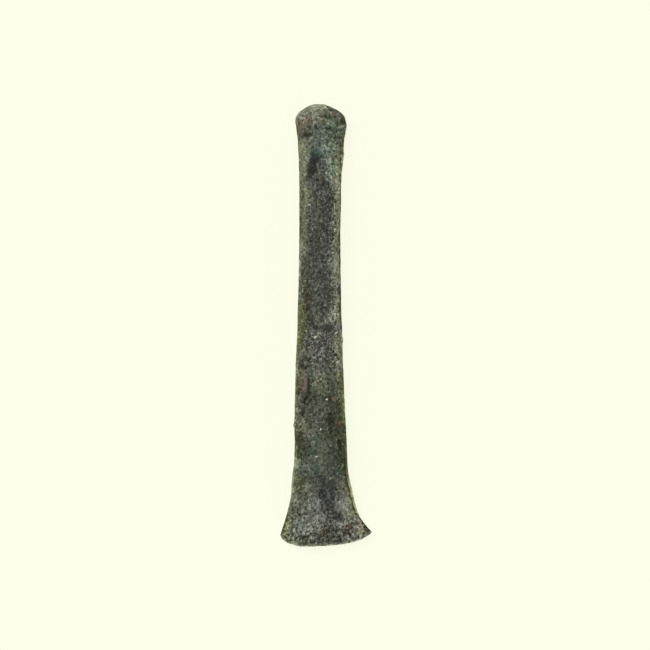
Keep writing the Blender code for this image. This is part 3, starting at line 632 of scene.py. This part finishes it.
sideways /= np.maximum(np.linalg.norm(sideways, axis=1), skin["levelLeast"])[:, None]
outward = spread(spreading, rimNoise * 0.3, 0.5, side=1.0)
shaped = points + normals * relief[:, None] + sideways * outward[:, None]
thin = fade(np.minimum(fromLeft, fromRight), *skin["thinRim"]) * fade(down, *skin["cornersStart"])
shaped += thin[:, None] * (relax(shaped, edges, skin["relaxingMore"]) - shaped)
shaped[:, 2] = np.maximum(shaped[:, 2], 0.0)
sag = steady(relief[:, None], edges, skin["sagReach"])[:, 0] - relief
writePoints(net, shaped)
print("relief raised")


# What grows where. Tone runs from a black pit at 0 to loose white mineral at 1; the others are shares.

growing = {
    "faceTone": 0.268,
    "leftFlankTone": 0.13,     # how much paler the flanks are than the face
    "rightFlankTone": 0.145,
    "backTone": 0.05,
    "broadTone": 0.03,         # slow drift over the whole tool
    "patchyTone": 0.05,
    "edgeBlotch": 0.16,        # blotches near the cutting edge, and mm across them
    "edgeBlotchSize": 2.2,
    "edgeLine": 0.16,          # the edge itself is worn pale
    "sagFull": 0.035,          # mm of hollow that counts as a full one
    "sagTone": 0.13,
    "pitTone": 0.14,
    "leftFlankOlive": 0.52,
    "rightFlankOlive": 0.34,
    "wallOlive": 0.04,
    "wallTone": 0.06,
    "flankRagged": 0.6,        # how much noise moves the flanks' inner rims
    "leftFlank": ((3.5, 2.8), (9.0, 15.0)),  # mm in and mm down, each from nothing to full
    "leftFlankDown": {0: 1.0, 52: 0.9, 60: 0.35, 96: 0.35, 104: 0.15, 160: 0.15},
    "rightFlank": ((3.2, 2.0), (14.0, 22.0), (104.0, 96.0)),
    "netFlankMiddle": 2.7,     # mm in from the right outline, where the flank shows a pale net
    "netFlank": ((1.8, 0.9), (18.0, 26.0), (104.0, 92.0)),
    "wall": ((0.85, 0.5), (1.0, 9.0)),  # the same, but of the slope
    "edgeLineInset": (0.75, 0.35),  # mm in from the cutting edge
    "edgeLineRagged": 0.4,
    "oliveFull": 0.8,          # share of the olive that shows
    "oliveFilm": 0.08,         # olive everywhere, and how far it drifts
    "oliveDrift": 0.15,
    "malachiteDrift": 0.15,
    "malachitePatches": (0.2, 0.8),  # of the patchy noise, from none to full
    "gritAndGlintFacing": (0.2, 0.6),  # the same, but of the slope
    "web": 0.35,               # pale net everywhere, and what is added to it
    "webWall": -0.2,
    "webFlank": 0.5,
    "webEdge": 0.2,
    "contrastDown": {0: 0.8, 16: 0.81, 26: 0.98, 92: 1, 100: 0.84, 136: 0.8, 142: 0.77, 151: 0.77, 155: 0.83},
    "contrastFlank": -0.15,
    "contrastEdge": 0.20,
}
ragged = growing["flankRagged"] * rimNoise
leftFlank = flank(fromLeft + ragged, *growing["leftFlank"]) * downTheTool(growing["leftFlankDown"])
rightFlank = flank(fromRight + ragged, *growing["rightFlank"])
netFlank = flank(np.abs(fromRight - growing["netFlankMiddle"]), *growing["netFlank"])
wall = flank(np.abs(slope), *growing["wall"])
hollowness = np.clip(sag / growing["sagFull"], -1, 1)
tone = growing["faceTone"] + growing["leftFlankTone"] * leftFlank + growing["rightFlankTone"] * rightFlank
tone += growing["backTone"] * (1 - facing) + growing["wallTone"] * wall
tone += growing["broadTone"] * broad + growing["patchyTone"] * patchy
tone += growing["edgeBlotch"] * edgeBand * cloud(points, growing["edgeBlotchSize"], 2, seed=8)
tone -= growing["sagTone"] * hollowness + growing["pitTone"] * pits
for part in paleness.values():
    tone += spread(part, rimNoise)
# the rim bands paint shade and light along the outline
tone += spread(marks, rimNoise, 0.2) + spreadRimLightAndShade(rimLightAndShade)
worn = fade(fromEdge + growing["edgeLineRagged"] * rimNoise, *growing["edgeLineInset"])
tone += growing["edgeLine"] * worn
oliveness = growing["leftFlankOlive"] * leftFlank + growing["rightFlankOlive"] * rightFlank
oliveness += growing["wallOlive"] * wall + spread(olive, rimNoise)
oliveness += growing["oliveFilm"] + growing["oliveDrift"] * broad
greenness = growing["malachiteDrift"] * fade(patchy, *growing["malachitePatches"])
greenness += spread(malachite, rimNoise)
netted = growing["web"] + growing["webWall"] * wall + growing["webFlank"] * netFlank
netted += growing["webEdge"] * edgeBand + spread(web, rimNoise)
contrast = downTheTool(growing["contrastDown"]) + growing["contrastFlank"] * leftFlank
contrast += growing["contrastEdge"] * edgeBand * facing
growth = {
    "tone": np.clip(tone, 0, 1),
    "olive": np.clip(growing["oliveFull"] * oliveness, 0, 1),
    "malachite": np.clip(greenness, 0, 1),
    "cuprite": np.clip(spread(cuprite, rimNoise), 0, 1.5),
    "slate": np.clip(spread(slate, rimNoise), 0, 1),
    "gritAndGlints": np.clip(spread(gritAndGlints) * fade(slope, *growing["gritAndGlintFacing"]), 0, 1),
    "web": np.clip(netted, 0, 1),
    "contrast": contrast * uneven,
}
for name, values in growth.items():
    attribute = net.attributes.new(name, "FLOAT", "POINT")
    attribute.data.foreach_set("value", values.astype(np.float32))

net.transform(Matrix.Scale(mm, 4))
net.shade_smooth()
chisel = intoScene("chisel_patinated", net)
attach(chisel, "root")
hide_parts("chisel")
print("chisel placed")


# Materials


def addNode(tree, kind, inputs, **settings):
    # adds a node, sets its properties and fills its inputs; a node given as an input links its first output
    node = tree.nodes.new("ShaderNode" + kind)
    for name, value in settings.items():
        setattr(node, name, value)
    for name, value in inputs.items():
        if isinstance(value, bpy.types.Node):
            value = value.outputs[0]
        if isinstance(value, bpy.types.NodeSocket):
            tree.links.new(value, node.inputs[name])
        else:
            node.inputs[name].default_value = value
    return node


def multiplyAdd(tree, value, factor, added, **settings):
    return addNode(tree, "Math", {0: value, 1: factor, 2: added}, operation="MULTIPLY_ADD", **settings)


def remap(tree, value, start, end, low=0.0, high=1.0, **settings):
    # runs from low to high as the value goes from start to end
    ends = {"Value": value, "From Min": start, "From Max": end, "To Min": low, "To Max": high}
    return addNode(tree, "MapRange", ends, **settings)


patina = {
    # tones of the crust from a bare pit to loose mineral grains, evenly spaced
    "tones": ("#11110D", "#3C3D36", "#6D6E67", "#A2A39B", "#D6D7CF"),
    # width in mm and push of each layer of mottling
    "mottles": {"broad": (3.6, 0.22), "middle": (1.8, 0.27), "fine": (0.9, 0.28), "dust": (0.45, 0.61)},
    "oliveTint": "#F5FFAB",   # these four are multiplied over the tones
    "malachiteTint": "#E1FFF3",
    "cupriteTint": "#FFD8C4",
    "slateTint": "#DBE9FF",
    "tintInDark": 1.02,       # the tints show more in dark crust than in pale mineral
    "tintInPale": 0.58,
    "hueWidth": 2.4,          # mm across a drift of hue
    "hueDrift": 0.45,
    "webWidth": 1.25,         # mm across a mesh of the net
    "webWander": 2.6,         # mm that the net strays from straight lines
    "webRise": 0.40,          # how much paler its lines are, and how much darker its meshes
    "webFall": 0.16,
    "speckSpacing": 1.15,     # mm between specks, pale or dark
    "speckPush": 0.22,
    # the near white of the pale grains and of the painted glints
    "gritAndGlints": "#E4ECDC",
    "roughDark": 0.66,
    "roughPale": 0.92,
    "bumpDepth": 0.10,        # mm
}


def bronzePatina():
    # Cast and hammered tin bronze under centuries of corrosion: dull, granular, dark with pale mineral crust.
    # It gives the eye no mirror, only a faint dry sheen where bare oxide has been handled smooth.
    material = bpy.data.materials.new("bronzePatina")
    material.use_nodes = True
    tree = material.node_tree
    shader = tree.nodes["Principled BSDF"]
    grown = {}
    for name in growth:
        grown[name] = addNode(tree, "Attribute", {}, attribute_name=name).outputs["Fac"]

    place = addNode(tree, "TexCoord", {}).outputs["Object"]
    grainLength = 1.25  # the mottling runs a little longer down the tool than across it
    inMm = addNode(tree, "Mapping", {"Vector": place,
                   "Scale": (1 / mm, 1 / mm / grainLength, 1 / mm)})

    # mottling, from broad clouds down to dust
    mottle = 0.0
    for width, push in patina["mottles"].values():
        cloudy = addNode(tree, "TexNoise", {"Vector": inMm, "Scale": 1 / width, "Detail": 1.0})
        mottle = multiplyAdd(tree, cloudy, push, mottle)
        mottle = addNode(tree, "Math", {0: mottle, 1: push / 2}, operation="SUBTRACT")

    # a wandering, broken net of pale crust round darker cells
    wander = addNode(tree, "TexNoise", {"Vector": inMm, "Scale": 0.7, "Detail": 3.0})
    strayed = addNode(tree, "VectorMath", {0: wander.outputs["Color"],
                      1: (patina["webWander"],) * 3, 2: inMm}, operation="MULTIPLY_ADD")
    toLine = addNode(tree, "TexVoronoi", {"Vector": strayed, "Scale": 1 / patina["webWidth"]},
                     feature="DISTANCE_TO_EDGE")
    line = remap(tree, toLine, 0.02, 0.26, patina["webRise"], -patina["webFall"],
                 interpolation_type="SMOOTHSTEP")
    breaks = remap(tree, wander, 0.35, 0.65)
    broken = addNode(tree, "Math", {0: breaks, 1: grown["web"]}, operation="MULTIPLY")
    mottle = multiplyAdd(tree, line, broken, mottle)

    # specks: some of the scattered cells are pale in the middle, others dark
    specks = addNode(tree, "TexVoronoi", {"Vector": strayed, "Scale": 1 / patina["speckSpacing"]})
    core = remap(tree, specks, 0.42, 0.12, interpolation_type="SMOOTHSTEP")
    luck = addNode(tree, "SeparateColor", {"Color": specks.outputs["Color"]})
    paler = remap(tree, luck, 0.60, 0.85, high=patina["speckPush"])
    darker = remap(tree, luck, 0.40, 0.15, high=-patina["speckPush"])
    either = addNode(tree, "Math", {0: paler, 1: darker}, operation="ADD")
    mottle = multiplyAdd(tree, core, either, mottle)
    level = multiplyAdd(tree, mottle, grown["contrast"], grown["tone"], use_clamp=True)

    ramp = addNode(tree, "ValToRGB", {"Fac": level})
    stops = ramp.color_ramp.elements
    for _ in range(len(patina["tones"]) - 2):
        stops.new(0.5)
    for i, hexTone in enumerate(patina["tones"]):
        stops[i].position = i / (len(patina["tones"]) - 1)
        stops[i].color = toLinear(hexTone)

    # hues drift a little everywhere, and follow what grows there
    drift = addNode(tree, "TexNoise", {"Vector": inMm, "Scale": 1 / patina["hueWidth"],
                    "Detail": 3.0, "Roughness": 0.7})
    drifts = addNode(tree, "SeparateColor", {"Color": drift.outputs["Color"]})
    colour = ramp.outputs["Color"]
    leaning = remap(tree, level, 0.20, 0.65, patina["tintInDark"], patina["tintInPale"])
    for i, name in enumerate(("olive", "malachite", "cuprite", "slate")):
        push = multiplyAdd(tree, drifts.outputs[i % 3], patina["hueDrift"], -patina["hueDrift"] / 2)
        share = multiplyAdd(tree, grown[name], leaning, push, use_clamp=True)
        mix = addNode(tree, "Mix", {0: share, 6: colour, 7: toLinear(patina[name + "Tint"])},
                      data_type="RGBA", blend_type="MULTIPLY")
        colour = mix.outputs[2]
    gritty = addNode(tree, "Mix", {0: grown["gritAndGlints"], 6: colour, 7: toLinear(patina["gritAndGlints"])},
                     data_type="RGBA")
    tree.links.new(gritty.outputs[2], shader.inputs["Base Color"])

    rough = remap(tree, level, 0.15, 0.6, patina["roughDark"], patina["roughPale"])
    tree.links.new(rough.outputs[0], shader.inputs["Roughness"])
    shader.inputs["Specular IOR Level"].default_value = 0.25  # a porous crust scatters most of its gloss

    bump = addNode(tree, "Bump", {"Height": level, "Distance": patina["bumpDepth"] * mm})
    tree.links.new(bump.outputs[0], shader.inputs["Normal"])
    return material


chisel.data.materials.clear()
chisel.data.materials.append(bronzePatina())
print("patina grown")


# Studio: a round sweep of pale card, lit through as on a light table, so that it hardly shows a shadow

studio = {
    "flatRadius": 1.6,       # metres
    "bendRadius": 1.0,
    "wallHeight": 2.0,
    "rings": 24,
    "segments": 96,
    "card": "#FDFFEB",
    "throughLight": 0.90,    # share of its brightness that comes through it
    "skyStrength": 0.35,
    "sunStrength": 1.6,
    "sunSoftness": 35,       # degrees across
    "sunFrom": (-0.45, 0.5, 1.5),
}


def paleCard():
    # matt card, coated; it lets light through from behind
    material = bpy.data.materials.new("paleCard")
    material.use_nodes = True
    shader = material.node_tree.nodes["Principled BSDF"]
    tone = toLinear(studio["card"])
    matt = [channel * (1 - studio["throughLight"]) for channel in tone[:3]]
    shader.inputs["Base Color"].default_value = (*matt, 1.0)
    shader.inputs["Roughness"].default_value = 1.0
    shader.inputs["Specular IOR Level"].default_value = 0.0
    shader.inputs["Emission Color"].default_value = tone
    shader.inputs["Emission Strength"].default_value = studio["throughLight"]
    return material


def sweep():
    # profile from the middle outwards, turned round the vertical
    flat, bend = studio["flatRadius"], studio["bendRadius"]
    profile = [(flat * i / 6, 0.0) for i in range(7)]
    for i in range(1, studio["rings"] + 1):
        angle = math.pi / 2 * i / studio["rings"]
        profile.append((flat + bend * math.sin(angle), bend * (1 - math.cos(angle))))
    profile.append((flat + bend, studio["wallHeight"]))
    count = studio["segments"]
    vertices = [(0.0, 0.0, 0.0)]
    for radius, height in profile[1:]:
        for k in range(count):
            turn = 2 * math.pi * k / count
            vertices.append((radius * math.cos(turn), radius * math.sin(turn), height))
    faces = [(0, 1 + k, 1 + (k + 1) % count) for k in range(count)]
    for ring in range(len(profile) - 2):
        start = 1 + ring * count
        for k in range(count):
            after = (k + 1) % count
            faces.append((start + k, start + count + k, start + count + after, start + after))
    mesh = bpy.data.meshes.new("sweep")
    mesh.from_pydata(vertices, [], faces)
    mesh.shade_smooth()
    mesh.materials.append(paleCard())
    intoScene("sweep", mesh)


def lights():
    world = bpy.data.worlds.new("softSky")
    world.use_nodes = True
    background = world.node_tree.nodes["Background"]
    background.inputs["Color"].default_value = (1.0, 1.0, 1.0, 1.0)
    background.inputs["Strength"].default_value = studio["skyStrength"]
    bpy.context.scene.world = world
    sun = bpy.data.lights.new("softKey", "SUN")
    sun.energy = studio["sunStrength"]
    sun.angle = math.radians(studio["sunSoftness"])
    key = intoScene("softKey", sun)
    key.rotation_euler = Vector(studio["sunFrom"]).to_track_quat("Z", "Y").to_euler()


def camera():
    # straight down, from far enough that the near face isn't drawn larger than the far one
    picture = 650  # pixels each way
    pixelsPerMetre = 441.8 / 0.160
    boxMiddle = (325.75, 325.3)  # pixel that the middle of the tool's box falls on
    distance = 1.3
    width = picture / pixelsPerMetre
    data = bpy.data.cameras.new("overhead")
    data.sensor_width = 36.0
    data.lens = data.sensor_width * distance / width
    data.clip_start = 0.05
    data.clip_end = 20.0
    view = intoScene("overhead", data)
    halfHeight = highest[2] * mm / 2
    aside = (picture / 2 - boxMiddle[0]) / pixelsPerMetre
    upwards = (boxMiddle[1] - picture / 2) / pixelsPerMetre
    view.location = (aside, upwards, halfHeight + distance)
    bpy.context.scene.camera = view


sweep()
lights()
camera()
bpy.context.scene.view_settings.view_transform = "Standard"
print("studio set up")
